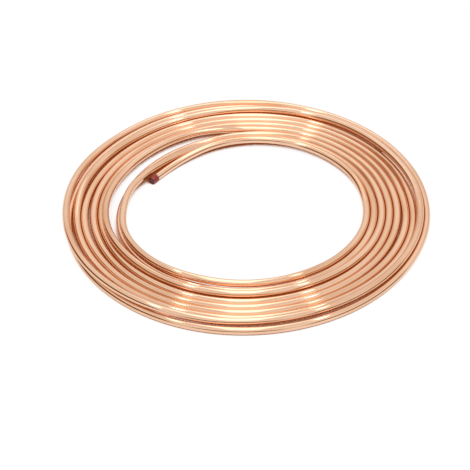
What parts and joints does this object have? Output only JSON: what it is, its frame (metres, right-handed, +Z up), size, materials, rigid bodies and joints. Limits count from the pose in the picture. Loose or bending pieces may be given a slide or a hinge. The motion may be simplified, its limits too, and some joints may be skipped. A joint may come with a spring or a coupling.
{
  "type": "copper tube coil",
  "caption": "Flat hand coil of bare soft copper tube lying on its side, with loose turns, a gap between two of them, a free inner end and push-on plastic end caps.",
  "frame": {"origin": "middle of the coil's outline, on the floor it lies on", "axes": "+Z up, along the axis that the tube is wound about; +X to the right and +Y away from the viewer of the picture"},
  "size_m": [0.6292, 0.6276, 0.0267],
  "materials": {
    "copper": "bright drawn copper",
    "cap_plastic": "satin"
  },
  "bodies": {
    "root": {"copper_tube": "copper", "inner_end_cap": "cap_plastic", "outer_end_cap": "cap_plastic"}
  },
  "joints": []
}
